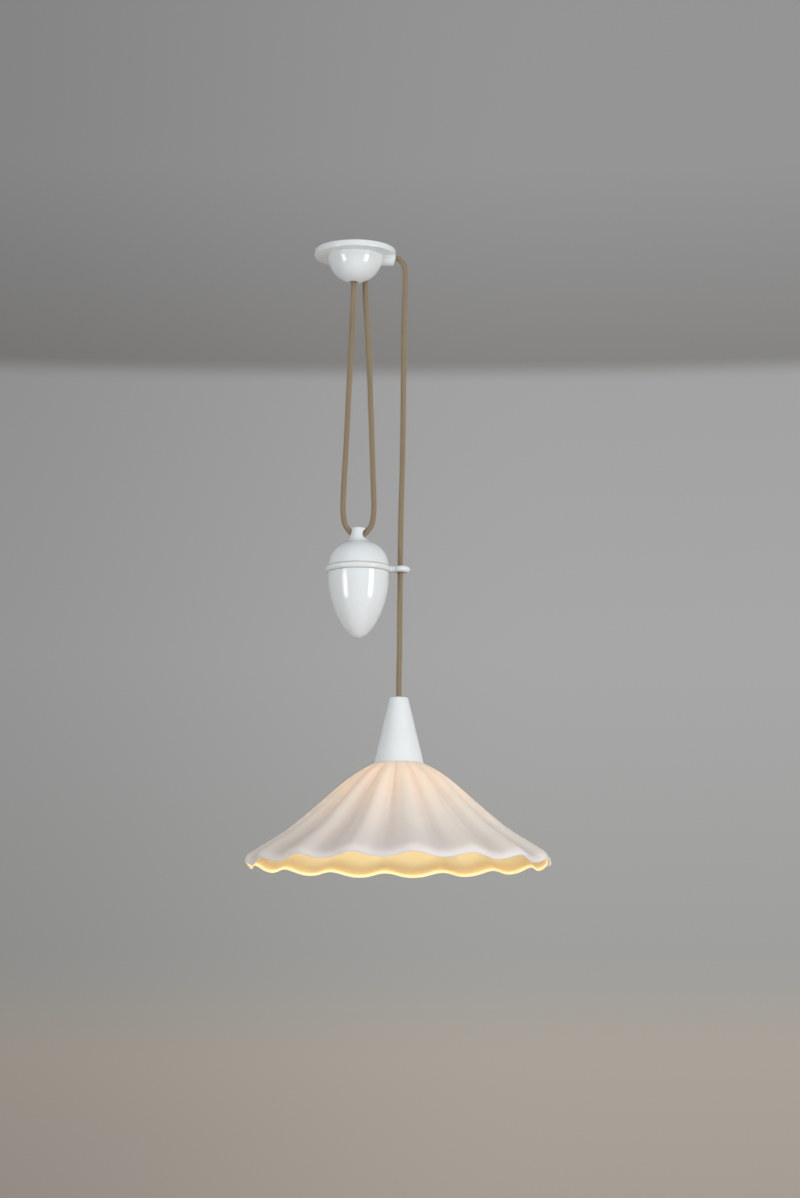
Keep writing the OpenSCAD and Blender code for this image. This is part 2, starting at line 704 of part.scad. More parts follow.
// Screws of the terminal block, two to a way
module terminal_screws() {
    foot = plate_z - block.z + way_screw_sink;
    slot = [4, 0.5, 0.7];
    color(BRASS)
        for (i = [0:2], x = [way_screw_x, block.x - way_screw_x])
            translate([block_x + x, way_y(i), foot])
                difference() {
                    cylinder(r = way_screw_r, h = way_z - core_r - foot, $fn = small);
                    translate([-slot.x / 2, -slot.y / 2, -through])
                        cube([slot.x, slot.y, slot.z + through]);
                }
}

module earth_screw_place() {
    translate([earth_screw_at.x, earth_screw_at.y, plate_z]) children();
}

// Screw for the earth wire
module earth_screw() {
    color(BRASS) earth_screw_place()
        screw(earth_head.x, earth_head.y, earth_screw_r, plate_t - short);
}

// Bar that clamps the flex to the plate
module cord_clamp() {
    color(NYLON) difference() {
        translate([clamp_x, fixed_leg.y - clamp.y / 2, clamp_foot]) cube(clamp);
        for (side = [-1, 1])
            translate([clamp_x + clamp.x / 2, fixed_leg.y + side * clamp_screw_y,
                clamp_foot - through])
                cylinder(r = clamp_screw_r + fit, h = clamp.z + 2 * through, $fn = small);
    }
}

// Screws of the clamp
module clamp_screws() {
    color(STEEL)
        for (side = [-1, 1])
            translate([clamp_x + clamp.x / 2, fixed_leg.y + side * clamp_screw_y, clamp_foot])
                screw(clamp_head.x, clamp_head.y, clamp_screw_r, -clamp_foot - short);
}

// Core from the end of the flex to way i of the terminal block
module core(i, tone) {
    start = flex_end + [0, (i - 1) * core_pitch, core_lift[i]];
    entry = [block_x + block.x + core_lead, way_y(i), way_z];
    leave = start - [core_lead, 0, 0];
    color(tone)
        tube([start, leave, (leave + entry) / 2 - [0, 0, core_bow[i]], entry,
            entry - [core_lead + core_bite, 0, 0]], core_r, 8, [0, 0, 1]);
}

module live_core() {
    core(2, [0.42, 0.26, 0.16]);
}

module neutral_core() {
    core(1, [0.20, 0.36, 0.66]);
}

module earth_core() {
    core(0, [0.38, 0.62, 0.20]);
}

module cord_to_terminals() {
    color(BRAID) tube(terminal_route, cord_r);
}

module cord_over_wheel() {
    color(BRAID) tube(over_wheel_route, cord_r);
}

module cord_loop() {
    color(BRAID) tube(loop_route, cord_r);
}

module cord_drop() {
    color(BRAID) tube(drop_route, cord_r);
}

// ---- Counterweight ----

// Radius of the dome at height z over its middle plane, shrunk by a wall
function dome_at(z, wall = 0) =
    let (u = min(1, z / (dome_h - wall)))
    (dome_r - wall) * pow(max(0, 1 - pow(u, dome_power)), 1 / dome_power);

// Curve of the dome from height top over its middle plane down to the cap's foot
function dome_curve(top, wall, n) =
    let (foot = cap_foot - dome_z)
    [for (i = [0:n]) let (z = foot + (top - foot) * cos(90 * i / n))
        [dome_at(z, wall), dome_z + z]];

// Outline of the cap: the neck's top, its flare, and the dome down to the ring
function cap_outline() =
    let (flare = [[0.5, 0.27], [1.7, 0.55], [3.6, 0.82]]) // share of the way down the neck
    concat(
        [[0, neck_z]],
        arc(neck_r - neck_edge_r, neck_z - neck_edge_r, neck_edge_r, 90, 0, 5),
        [for (f = flare) [neck_r + f[0], neck_z + (neck_foot_z - neck_z) * f[1]]],
        [[neck_foot_r, neck_foot_z]],
        dome_curve(dome_h * dome_start, 0, 14),
        [[0, cap_foot]]
    );

// Porcelain cap with the eye that the cord passes
module counterweight_cap() {
    floor_h = dome_h - weight_wall - dome_floor_t; // inside of the dome over its middle plane
    color(PORCELAIN) translate([weight_x, 0, 0]) difference() {
        rotate_extrude($fn = smooth) polygon(cap_outline());
        difference() {
            rotate_extrude($fn = smooth) polygon(concat(
                [[0, cap_foot - through], [0, dome_z + floor_h]],
                dome_curve(floor_h, weight_wall, 12),
                [[dome_r - weight_wall, cap_foot - through]]
            ));
            translate([0, 0, boss_bottom])
                cylinder(r = bush_r + weight_wall, h = dome_h, $fn = smooth);
        }
        translate([0, 0, boss_bottom - through])
            cylinder(r = bush_r + seat, h = bush_l + bush_end + through, $fn = small);
        translate([0, 0, saddle_z + saddle_bend])
            rotate([90, 0, 0])
                rotate_extrude($fn = smooth)
                    translate([saddle_cut_r, 0]) circle(r = guide_r, $fn = small);
        translate([scoop_x, neck_foot_r, scoop_z])
            rotate([90, 0, 0]) cylinder(r = scoop_r, h = 2 * neck_foot_r, $fn = smooth);
    }
}

// Threaded brass bush in the cap
module cap_bush() {
    color(BRASS) translate([weight_x, 0, boss_bottom])
        washer(bush_r, stud_r + fit, bush_l, small);
}

// Cork ring between the cap and the guide ring
module cap_seal() {
    color(CORK) translate([weight_x, 0, ring_top])
        washer(dome_r - seal_inset, dome_r - weight_wall, seal_t);
}

// Cork ring between the guide ring and the egg
module egg_seal() {
    color(CORK) translate([weight_x, 0, egg_top])
        washer(egg_r - seal_inset, egg_r - weight_wall, seal_t);
}

// Ring with a rounded bead, and the arm whose eye the lamp's cord runs through
module guide_ring() {
    mid = ring_bottom + ring_t / 2;
    color(PORCELAIN) translate([weight_x, 0, mid]) difference() {
        union() {
            cylinder(r = bead_r - arm_r, h = ring_t, center = true, $fn = smooth);
            rotate_extrude($fn = smooth)
                translate([bead_r - arm_r, 0]) circle(r = arm_r, $fn = small);
            for (side = [-1, 1])
                translate([arm_root, side * (arm_w / 2 - arm_r), 0])
                    rotate([0, 90, 0])
                        cylinder(r = arm_r, h = eye_reach - arm_root, $fn = small);
            translate([arm_root, -arm_w / 2 + arm_r, -arm_r])
                cube([eye_reach - arm_root, arm_w - 2 * arm_r, ring_t]);
            translate([eye_reach, 0, 0]) {
                cylinder(r = eye_r + eye_band, h = ring_t, center = true, $fn = smooth);
                rotate_extrude($fn = smooth)
                    translate([eye_r + eye_band, 0]) circle(r = arm_r, $fn = small);
            }
        }
        cylinder(r = ring_bore_r, h = 2 * ring_t, center = true, $fn = smooth);
        translate([eye_reach, 0, 0])
            cylinder(r = eye_r, h = 2 * ring_t, center = true, $fn = smooth);
    }
}

// Radius of the egg at the share t of its pointed part
function egg_share(t) =
    (1 - egg_point) * sqrt(max(0, 1 - t * t)) + egg_point * cos(90 * t);

// Outline of the egg, shrunk by a wall
function egg_curve(wall, n) =
    let (depth = egg_h - egg_straight - wall)
    [for (i = [0:n]) let (t = sin(90 * i / n))
        [i == n ? 0 : (egg_r - wall) * egg_share(t), egg_top - egg_straight - depth * t]];

// Hollow porcelain egg
module counterweight_egg() {
    color(PORCELAIN) translate([weight_x, 0, 0]) rotate_extrude($fn = smooth) polygon(concat(
        [[egg_r - weight_wall, egg_top], [egg_r, egg_top]],
        egg_curve(0, 26),
        [for (i = [20:-1:0]) egg_curve(weight_wall, 20)[i]]
    ));
}

// Cast weight that fills the egg
module ballast() {
    curve = [for (p = egg_curve(weight_wall + ballast_gap, 20)) if (p.y < ballast_top) p];
    color(LEAD) translate([weight_x, 0, 0]) difference() {
        rotate_extrude($fn = smooth)
            polygon(concat([[0, ballast_top], [curve[0].x, ballast_top]], curve));
        translate([0, 0, stud_hole_z])
            cylinder(r = stud_r + fit, h = ballast_top - stud_hole_z + through, $fn = small);
    }
}

// Stud from the cap's bush down into the weight
module tie_stud() {
    foot = stud_hole_z + stud_end;
    color(STEEL) translate([weight_x, 0, foot])
        cylinder(r = stud_r, h = stud_top - foot, $fn = small);
}

// Nut that locks the stud on the weight
module stud_nut() {
    color(STEEL) translate([weight_x, 0, ballast_top]) difference() {
        cylinder(r = nut_r, h = nut_h, $fn = 6);
        translate([0, 0, -through])
            cylinder(r = stud_r + fit, h = nut_h + 2 * through, $fn = small);
    }
}

// ---- Lamp ----

// Radius of the cone at height z
function cone_at(z) =
    cone_foot_r + (cone_top_r - cone_foot_r) * (z - cone_foot) / cone_h;

// Matte porcelain cone
module cone() {
    inner_top = cone_top - cone_cap_t;
    lean = atan((cone_foot_r - cone_top_r) / cone_h);
    color(PORCELAIN) translate([lamp_x, 0, 0]) difference() {
        rotate_extrude($fn = smooth) polygon(concat(
            [[0, cone_top]],
            arc(cone_top_r - cone_edge_r, cone_top - cone_edge_r, cone_edge_r, 90, lean, 5),
            [[cone_at(cone_foot + cone_foot_edge.y), cone_foot + cone_foot_edge.y],
                [cone_foot_r - cone_foot_edge.x, cone_foot], [0, cone_foot]]
        ));
        rotate_extrude($fn = smooth) polygon([
            [0, cone_foot - through], [cone_foot_r - cone_wall, cone_foot - through],
            [cone_foot_r - cone_wall, cone_foot], [cone_at(inner_top) - cone_wall, inner_top],
            [0, inner_top]
        ]);
        translate([0, 0, inner_top - through])
            cylinder(r = guide_r, h = cone_cap_t + 2 * through, $fn = small);
    }
}

// Collet that grips the cord on top of the nipple
module cord_grip() {
    color(NYLON) translate([lamp_x, 0, nipple_top]) difference() {
        union() {
            cylinder(r = grip_r, h = 2 * grip_screw_z, $fn = small);
            cylinder(r = grip_r - grip_step, h = grip_h, $fn = small);
        }
        translate([0, 0, -through])
            cylinder(r = cord_r + fit, h = grip_h + 2 * through, $fn = small);
        translate([0, 0, grip_screw_z]) rotate([0, 90, 0])
            cylinder(r = grip_screw_r + fit, h = 2 * grip_r, $fn = small);
    }
}

// Screw that presses on the cord in the grip
module grip_screw() {
    l = grip_r - cord_r - seat - short;
    slot = [0.6, 4, 0.7];
    color(BRASS) translate([lamp_x + cord_r + seat, 0, nipple_top + grip_screw_z])
        rotate([0, 90, 0]) difference() {
            cylinder(r = grip_screw_r, h = l, $fn = small);
            translate([-slot.x / 2, -slot.y / 2, l - slot.z])
                cube([slot.x, slot.y, slot.z + through]);
        }
}

// Threaded tube between the grip and the lampholder
module entry_nipple() {
    foot = body_top + holder_cap_h - nipple_sink;
    color(BRASS) translate([lamp_x, 0, foot])
        washer(nipple_r, cord_r + seat, nipple_top - foot, small);
}

// Domed top of the lampholder
module holder_cap() {
    collar_r = nipple_r + holder_cap_collar;
    slope = [3, 2]; // how far the shoulder draws in and rises
    inner_r = holder_r - holder_cap_t;
    color(PLASTIC) translate([lamp_x, 0, body_top])
        rotate_extrude($fn = smooth) polygon([
            [nipple_r + fit, holder_cap_h], [collar_r, holder_cap_h],
            [collar_r, holder_cap_h - nipple_sink + 1],
            [holder_r - slope.x, holder_cap_skirt + slope.y], [holder_r, holder_cap_skirt],
            [holder_r, 0], [inner_r, 0], [inner_r, holder_cap_skirt - 0.5],
            [inner_r - slope.x + 0.5, holder_cap_skirt + slope.y - 0.5],
            [nipple_r + fit, holder_cap_h - nipple_sink - 1]
        ]);
}

// Ceramic insert that carries the contacts
module contact_block() {
    color(PORCELAIN) translate([lamp_x, 0, block_bottom]) difference() {
        cylinder(r = insert_r, h = block_top - block_bottom, $fn = smooth);
        for (side = [-1, 1])
            translate([0, side * terminal_y, block_top - block_bottom - terminal_depth])
                cylinder(r = terminal_r + fit, h = terminal_depth + through, $fn = small);
    }
}

// Terminal screws in the top of the contact block
module holder_terminals() {
    color(BRASS)
        for (side = [-1, 1])
            translate([lamp_x, side * terminal_y, block_top])
                mirror([0, 0, 1])
                    screw(terminal_head.x, terminal_head.y, terminal_r, terminal_depth - terminal_end);
}

// Sprung tongue under the block that the bulb's contact meets
module centre_contact() {
    color(BRASS) translate([lamp_x, 0, block_bottom]) {
        translate([-tongue.y / 2, -tongue.y / 2, -tongue.z]) cube(tongue);
        translate([0, 0, seat - bulb_gap])
            cylinder(r1 = tongue_tip.x, r2 = tongue_tip.y, h = tongue_tip.z, $fn = small);
    }
}

// Brass shell that the bulb screws into
module screw_shell() {
    h = cap_l + shell_over;
    color(BRASS) translate([lamp_x, 0, block_bottom - h])
        washer(shell_bore_r + shell_t, shell_bore_r, h);
}

// Outer body of the lampholder with the shoulder that rests on the shade
module holder_body() {
    color(PLASTIC) translate([lamp_x, 0, 0]) difference() {
        union() {
            translate([0, 0, body_bottom])
                cylinder(r = holder_r, h = body_top - body_bottom, $fn = smooth);
            translate([0, 0, shoulder_z])
                cylinder(r = shoulder_r, h = shoulder_t, $fn = smooth);
        }
        translate([0, 0, block_bottom])
            cylinder(r = insert_r + fit, h = body_top - block_bottom + through, $fn = smooth);
        translate([0, 0, body_bottom - through])
            cylinder(r = shell_bore_r + shell_t + fit, h = body_top - body_bottom,
                $fn = smooth);
    }
}

module upper_washer() {
    color(CORK) translate([lamp_x, 0, cone_foot])
        washer(shoulder_r - washer_inset, crown_hole_r, washer_t);
}

module lower_washer() {
    color(CORK) translate([lamp_x, 0, ring_z])
        washer(shade_ring_r - 2 * washer_inset, crown_hole_r, washer_t);
}

// Ring that is screwed up against the shade from below
module shade_ring() {
    grips = 24;
    color(PLASTIC) translate([lamp_x, 0, ring_z - shade_ring_t]) difference() {
        cylinder(r = shade_ring_r, h = shade_ring_t, $fn = smooth);
        translate([0, 0, -through])
            cylinder(r = holder_r + fit, h = shade_ring_t + 2 * through, $fn = smooth);
        for (i = [0:grips - 1])
            rotate([0, 0, i * 360 / grips])
                translate([shade_ring_r + ring_notch_r - ring_notch_depth, 0, -through])
                    cylinder(r = ring_notch_r, h = shade_ring_t - ring_lip_t + through, $fn = small);
    }
}

// Smooth curve through the points of a line, at point i plus the share t
function curve_point(line, i, t) =
    let (
        a = line[max(i - 1, 0)], b = line[i], c = line[i + 1],
        d = line[min(i + 2, len(line) - 1)]
    )
    0.5 * ((2 * b) + (c - a) * t + (2 * a - 5 * b + 4 * c - d) * t * t
        + (3 * b - a - 3 * c + d) * t * t * t);

// The ridge line in fine steps
function ridge_points() = concat(
    [for (i = [0:len(ridge_line) - 2], k = [0:ring_steps - 1])
        curve_point(ridge_line, i, k / ring_steps)],
    [ridge_line[len(ridge_line) - 1]]
);

// Height of the wave at angle a from a ridge, 1 on a ridge and -1 in a valley
function wave(a) = cos(flutes * a) + 0.1 * cos(2 * flutes * a) - 0.1;

// How far the flutes rise at point i of n, from the crown to the rim
function swell(i, n) = flute_depth / 2 * pow(i / n, 0.8);

// Square distance from the line at point i, into the china
function inward(line, i) =
    let (t = unit(line[min(i + 1, len(line) - 1)] - line[max(i - 1, 0)]))
    [-t.y, t.x];

// Fluted bone china shade
module shade() {
    line = ridge_points();
    last = len(line) - 1;
    steps = flutes * wave_steps;
    outer = [for (i = [0:last]) [line[i], swell(i, last)]];
    inner = [for (i = [last:-ring_steps:ring_steps])
        [line[i] + shade_t * inward(line, i), swell(i, last)]];
    section = concat([[[crown_hole_r, 0], 0]], outer, inner,
        [[[crown_r - crown_fillet, crown_t], 0], [[crown_hole_r, crown_t], 0]]);
    rings = len(section);
    points = [
        for (k = [0:steps - 1], s = section)
        let (
            a = 360 * k / steps,
            p = s[0] + flute_lean * s[1] * (wave(a) - 1)
        )
        [p.x * cos(a), p.x * sin(a), -p.y]
    ];
    faces = [
        for (k = [0:steps - 1], i = [0:rings - 1])
        let (
            j = (i + 1) % rings,
            m = (k + 1) % steps,
            a = k * rings + i, b = k * rings + j, c = m * rings + j, d = m * rings + i
        )
        each [[a, b, c], [a, c, d]]
    ];
    color(CHINA) translate([lamp_x, 0, cone_foot]) rotate([0, 0, flute_turn - 90])
        polyhedron(points, faces);
}

// Outline of the bulb's glass, shrunk by a wall
function bulb_outline(wall) =
    let (
        r = bulb_r - wall,
        mid = bulb_tip + bulb_r,
        neck = bulb_neck_r - wall,
        top = bulb_top - cap_l + bulb_neck_in
    )
    concat(
        [[neck, top], [neck, top - bulb_neck_l], [neck + bulb_flare.x, top - bulb_flare.y]],
        arc(0, mid, r, bulb_join, -90, 18)
    );

// Opal glass of the bulb
module bulb_glass() {
    outer = bulb_outline(0);
    inner = bulb_outline(glass_t);
    color(OPAL) translate([lamp_x, 0, 0]) rotate_extrude($fn = smooth)
        polygon(concat(
            [for (p = outer) [max(0, p.x), p.y]],
            [for (i = [len(inner) - 1:-1:0]) [max(0, inner[i].x), inner[i].y]]
        ));
}

// Screw cap of the bulb
module bulb_cap() {
    straight = cap_l - contact_h - cap_cone_h;
    color(STEEL) translate([lamp_x, 0, bulb_top - cap_l]) {
        difference() {
            union() {
                cylinder(r = cap_r, h = straight, $fn = smooth);
                translate([0, 0, straight])
                    cylinder(r1 = cap_r, r2 = cap_end_r, h = cap_cone_h, $fn = smooth);
            }
            translate([0, 0, -through])
                cylinder(r = cap_r - cap_t, h = straight - 2 * cap_t + through, $fn = smooth);
        }
    }
}

// Centre contact of the bulb
module bulb_contact() {
    color(BRASS) translate([lamp_x, 0, bulb_top - contact_h])
        cylinder(r1 = contact_r, r2 = contact_top_r, h = contact_h, $fn = small);
}

// Cord inside the cone, from its top to the lampholder's terminals
module cord_in_lamp() {
    color(BRAID) translate([lamp_x, 0, 0])
        tube([[0, 0, cone_top], [0, 0, (cone_top + nipple_top) / 2], [0, 0, nipple_top],
            [0, 0, block_top + cord_end_gap]], cord_r);
}

mounting_plate();
ceiling_rose();
rose_grub_screws();
wheel_bracket();
bracket_rivets();
rose_wheel();
wheel_axle();
axle_clip();
terminal_block();
terminal_screws();
earth_screw();
cord_clamp();
clamp_screws();
live_core();
neutral_core();
earth_core();
cord_to_terminals();
cord_over_wheel();
cord_loop();
cord_drop();
counterweight_cap();
cap_bush();
cap_seal();
guide_ring();
egg_seal();
counterweight_egg();
ballast();
tie_stud();
stud_nut();
cone();
cord_grip();
grip_screw();
entry_nipple();
holder_cap();
contact_block();
holder_terminals();
centre_contact();
screw_shell();
holder_body();
upper_washer();
lower_washer();
shade_ring();
shade();
bulb_glass();
bulb_cap();
bulb_contact();
cord_in_lamp();
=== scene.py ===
"""Looks of a rise and fall pendant: glazed porcelain, a lit bone china shade and a braided cord."""

import json
import math

import bpy
import numpy as np
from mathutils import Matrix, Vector


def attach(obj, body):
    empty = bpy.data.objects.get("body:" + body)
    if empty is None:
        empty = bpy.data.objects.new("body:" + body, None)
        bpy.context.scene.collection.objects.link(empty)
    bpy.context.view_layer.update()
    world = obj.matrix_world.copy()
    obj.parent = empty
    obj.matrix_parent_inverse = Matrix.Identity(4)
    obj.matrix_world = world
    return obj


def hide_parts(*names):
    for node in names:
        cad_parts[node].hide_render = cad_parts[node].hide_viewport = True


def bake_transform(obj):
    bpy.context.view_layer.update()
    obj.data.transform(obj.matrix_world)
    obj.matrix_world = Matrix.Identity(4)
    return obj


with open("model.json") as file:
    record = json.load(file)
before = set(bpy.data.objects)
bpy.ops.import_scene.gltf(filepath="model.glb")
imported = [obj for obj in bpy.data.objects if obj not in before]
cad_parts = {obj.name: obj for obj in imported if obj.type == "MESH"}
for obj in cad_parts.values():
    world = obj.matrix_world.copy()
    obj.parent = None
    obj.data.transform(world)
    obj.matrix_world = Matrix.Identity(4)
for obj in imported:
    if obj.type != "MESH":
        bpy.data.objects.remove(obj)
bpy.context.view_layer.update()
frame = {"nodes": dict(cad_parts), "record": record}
nodes = frame["nodes"]

# ---- Camera, worked out from the ellipses of the rose and of the shade's rim ----
IMAGE_LONG_SIDE = 1198  # pixels
FOCAL_LENGTH = 2780  # pixels
SENSOR = 36.0  # millimetres, along the long side
CAMERA_PITCH = 9.66  # degrees up
CAMERA_PLACE = (0.0605, -3.63, -1.097)

# ---- Sizes of the cord, in metres ----
CORD_D = 0.0074
CORD_SIDES = 40
CORD_STEP = 0.0008  # between two rings of a cord
CARRIERS = 6  # braid strands in each direction
BRAID_PITCH = 0.0235  # length of one turn of a strand
BRAID_RELIEF = 0.0005
STRAND_SHARE = 0.6  # of the relief across a strand; the rest arches along it
CURVE_STEPS = 16  # between two points of a route, before its points are spaced evenly

# ---- Sizes of the shade, in metres ----
LAMP_X = 0.059
FLUTES = 16
FLUTE_TURN = math.radians(5.3)  # from the front to the nearest ridge
FLUTE_LEAN = np.array([0.55, -0.835])  # direction in which the flutes rise: outward, down
SHADE_T = 0.0024
CROWN_T = 0.0032
CROWN_Z = -0.698  # top of the flat crown
CROWN_HOLE_R = 0.0203
CROWN_EDGE = (0.0012, 0.0015)  # from the ridge line's start to the crown's edge: above, below
RIDGE_LINE = np.array([
    (34, 0.6), (49, 8.6), (72, 24.6), (108, 55.8), (146, 87.2), (184, 111.4),
    (195, 118.6), (199.2, 123.6), (200.6, 128.5),
]) / 1000  # radius, and depth below the flat crown
FLUTE_DEPTHS = np.array([0, 2.4, 5, 7.2, 8, 8, 8, 8, 8]) / 1000  # at the same points
FLUTE_CREASES = np.array([1, 0.9, 0.7, 0.45, 0.25, 0.1, 0, 0, 0])  # 1: valleys are creases
RIDGE_POINT = 0.1  # how much narrower a ridge is than a valley at the rim
CREASE_POWER = 0.8  # the lower, the sharper the creases near the crown
STEPS_PER_FLUTE = 32
STEPS_PER_SPAN = 12  # between two points of the ridge line
INNER_START = STEPS_PER_SPAN // 2  # step after which the wall has an inner side
LIP_STEPS = 8  # over the rounded rim

# ---- Smoothing of the CAD pieces ----
WELD_DISTANCE = 0.000005
SHARP_ANGLE = math.radians(32)

# ---- Light ----
BULB_COLOUR = (1.0, 0.72, 0.32)
BULB_STRENGTH = 32.0
TRANSLUCENT_SHARE = 0.18  # of the china
SOFTBOXES = (
    # name, degrees from the front, distance, height, width and height, radiance, height of its
    # aim, whether it shows in reflections
    ("softbox_left", -51, 2.1, -0.62, (0.62, 1.05), 8.2, -0.62, True),
    ("softbox_right", 51, 2.1, -0.62, (0.62, 1.05), 12.6, -0.62, True),
    ("softbox_top", 12, 2.0, 1.1, (1.4, 1.2), 3.0, -0.6, False),
    ("softbox_back", 180, 3.0, -0.3, (2.4, 1.6), 2.0, -0.3, False),
)
BOUNCE_Z = -0.89  # light that comes back up into the shade
BOUNCE_SIZE = (0.34, 0.34)
BOUNCE_RADIANCE = 0.5
BOUNCE_COLOUR = (1.0, 0.78, 0.42)
FILL_COLOUR = (0.96, 0.98, 1.0, 1.0)
FILL_STRENGTH = 0.22

# ---- Backdrop and floor ----
BACKDROP_SPAN = (-0.06, 0.40)  # rise of the view's direction, from the first tone to the last
BACKDROP_TONES = (  # share of that span, screen colour
    (0.0, (164, 154, 146)), (0.14, (170, 162, 152)), (0.22, (159, 159, 157)),
    (0.45, (167, 167, 167)), (0.662, (162, 162, 162)), (0.674, (133, 132, 130)),
    (0.82, (149, 149, 150)), (1.0, (148, 148, 149)),
)
# painted shade on the backdrop: it darkens towards the left
BACKDROP_FALL = (-0.20, 0.06, 0.74)  # left end and right end of the fall, strength at the left
FLOOR_Z = -1.9
FLOOR_R = 8.0
FLOOR_FADE = (0.8, 3.36)  # distances at which the floor starts and ends to thin out
FLOOR_SIDES = 64


def metres(points):
    """Points in metres from points in millimetres."""
    return [tuple(c / 1000 for c in p) for p in points]


# ---- Routes of the cord: the points of the CAD model, from the terminals to the lamp ----
TERMINAL_ROUTE = metres([
    (-9.7, 10.2, -5.4), (1.5, 10.2, -5.4), (6.1, 10.2, -6.3), (10, 10.2, -8.9),
    (12.6, 10.2, -12.8), (13.5, 10.2, -17.4), (13.5, 10.2, -42),
])
LOOP_ROUTE = metres([
    (13.5, 10.2, -42), (13.5, 10.2, -52), (15, 9.4, -85), (16.6, 8.4, -110), (18, 7.2, -135),
    (19.2, 6, -160), (20.2, 4.9, -185), (21, 3.8, -210), (22, 2.8, -235), (22.8, 1.9, -260),
    (23.7, 1.2, -285), (24.5, 0.7, -310), (25.3, 0.3, -335), (25.8, 0.1, -355),
    (25, 0, -369), (22.4, 0, -379.5), (18.4, 0, -386), (15.4, 0, -389.9), (12.8, 0, -391.8),
    (9, 0, -393.2), (5.2, 0, -393.7), (1.4, 0, -393.2), (-2.4, 0, -391.8), (-5, 0, -389.9),
    (-8, 0, -386), (-12, 0, -379.5), (-14.6, 0, -369), (-15.4, 0, -355), (-14.8, 0, -335),
    (-13.6, 0, -310), (-12.2, 0, -285), (-11, 0, -260), (-9.8, 0, -235), (-8.7, 0, -210),
    (-7.6, 0, -185), (-6.5, 0, -160), (-5.4, 0, -135), (-4.2, 0, -110), (-3.1, 0, -85),
    (-2, 0, -52), (-2, 0, -42),
])
WHEEL_X, WHEEL_Z = 10.8, -21.8
WHEEL_PITCH_R = 12.8
WHEEL_STEPS = 6
WHEEL_TURN = [math.radians(180 - 90 * i / WHEEL_STEPS) for i in range(WHEEL_STEPS + 1)]
OVER_WHEEL_ROUTE = metres(
    [(-2, 0, -42), (-2, 0, -32)]
    + [
        (WHEEL_X + WHEEL_PITCH_R * math.cos(turn), 0, WHEEL_Z + WHEEL_PITCH_R * math.sin(turn))
        for turn in WHEEL_TURN
    ]
    + [(30, 0, -9), (47, 0, -9)]
)
DROP_ROUTE = metres([
    (47, 0, -9), (48.5, 0, -9), (52.3, 0, -9.7), (57.3, 0, -11.7), (61.5, 0, -15),
    (64.8, 0, -19.2), (66.8, 0, -24.2), (67.5, 0, -31), (67.6, 0, -45), (67.1, 0, -70),
    (66.2, 0, -100), (65.7, 0, -130), (65.4, 0, -160), (65.1, 0, -190), (64.9, 0, -220),
    (64.5, 0, -250), (64, 0, -280), (63.4, 0, -310), (62.6, 0, -338), (61.8, 0, -365),
    (61.3, 0, -392), (61, 0, -420), (60.8, 0, -448), (60.5, 0, -475), (60.2, 0, -505),
    (60, 0, -535), (59.6, 0, -565), (59.1, 0, -587), (59, 0, -600), (59, 0, -611),
])
LAMP_ROUTE = metres([(59, 0, -611), (59, 0, -630), (59, 0, -655), (59, 0, -677.2)])


# ---- Camera ----
def make_camera():
    data = bpy.data.cameras.new("camera")
    data.sensor_width = SENSOR
    data.lens = FOCAL_LENGTH / IMAGE_LONG_SIDE * SENSOR
    camera = bpy.data.objects.new("camera", data)
    camera.location = CAMERA_PLACE
    camera.rotation_euler = (math.radians(90 + CAMERA_PITCH), 0, 0)
    bpy.context.scene.collection.objects.link(camera)
    bpy.context.scene.camera = camera


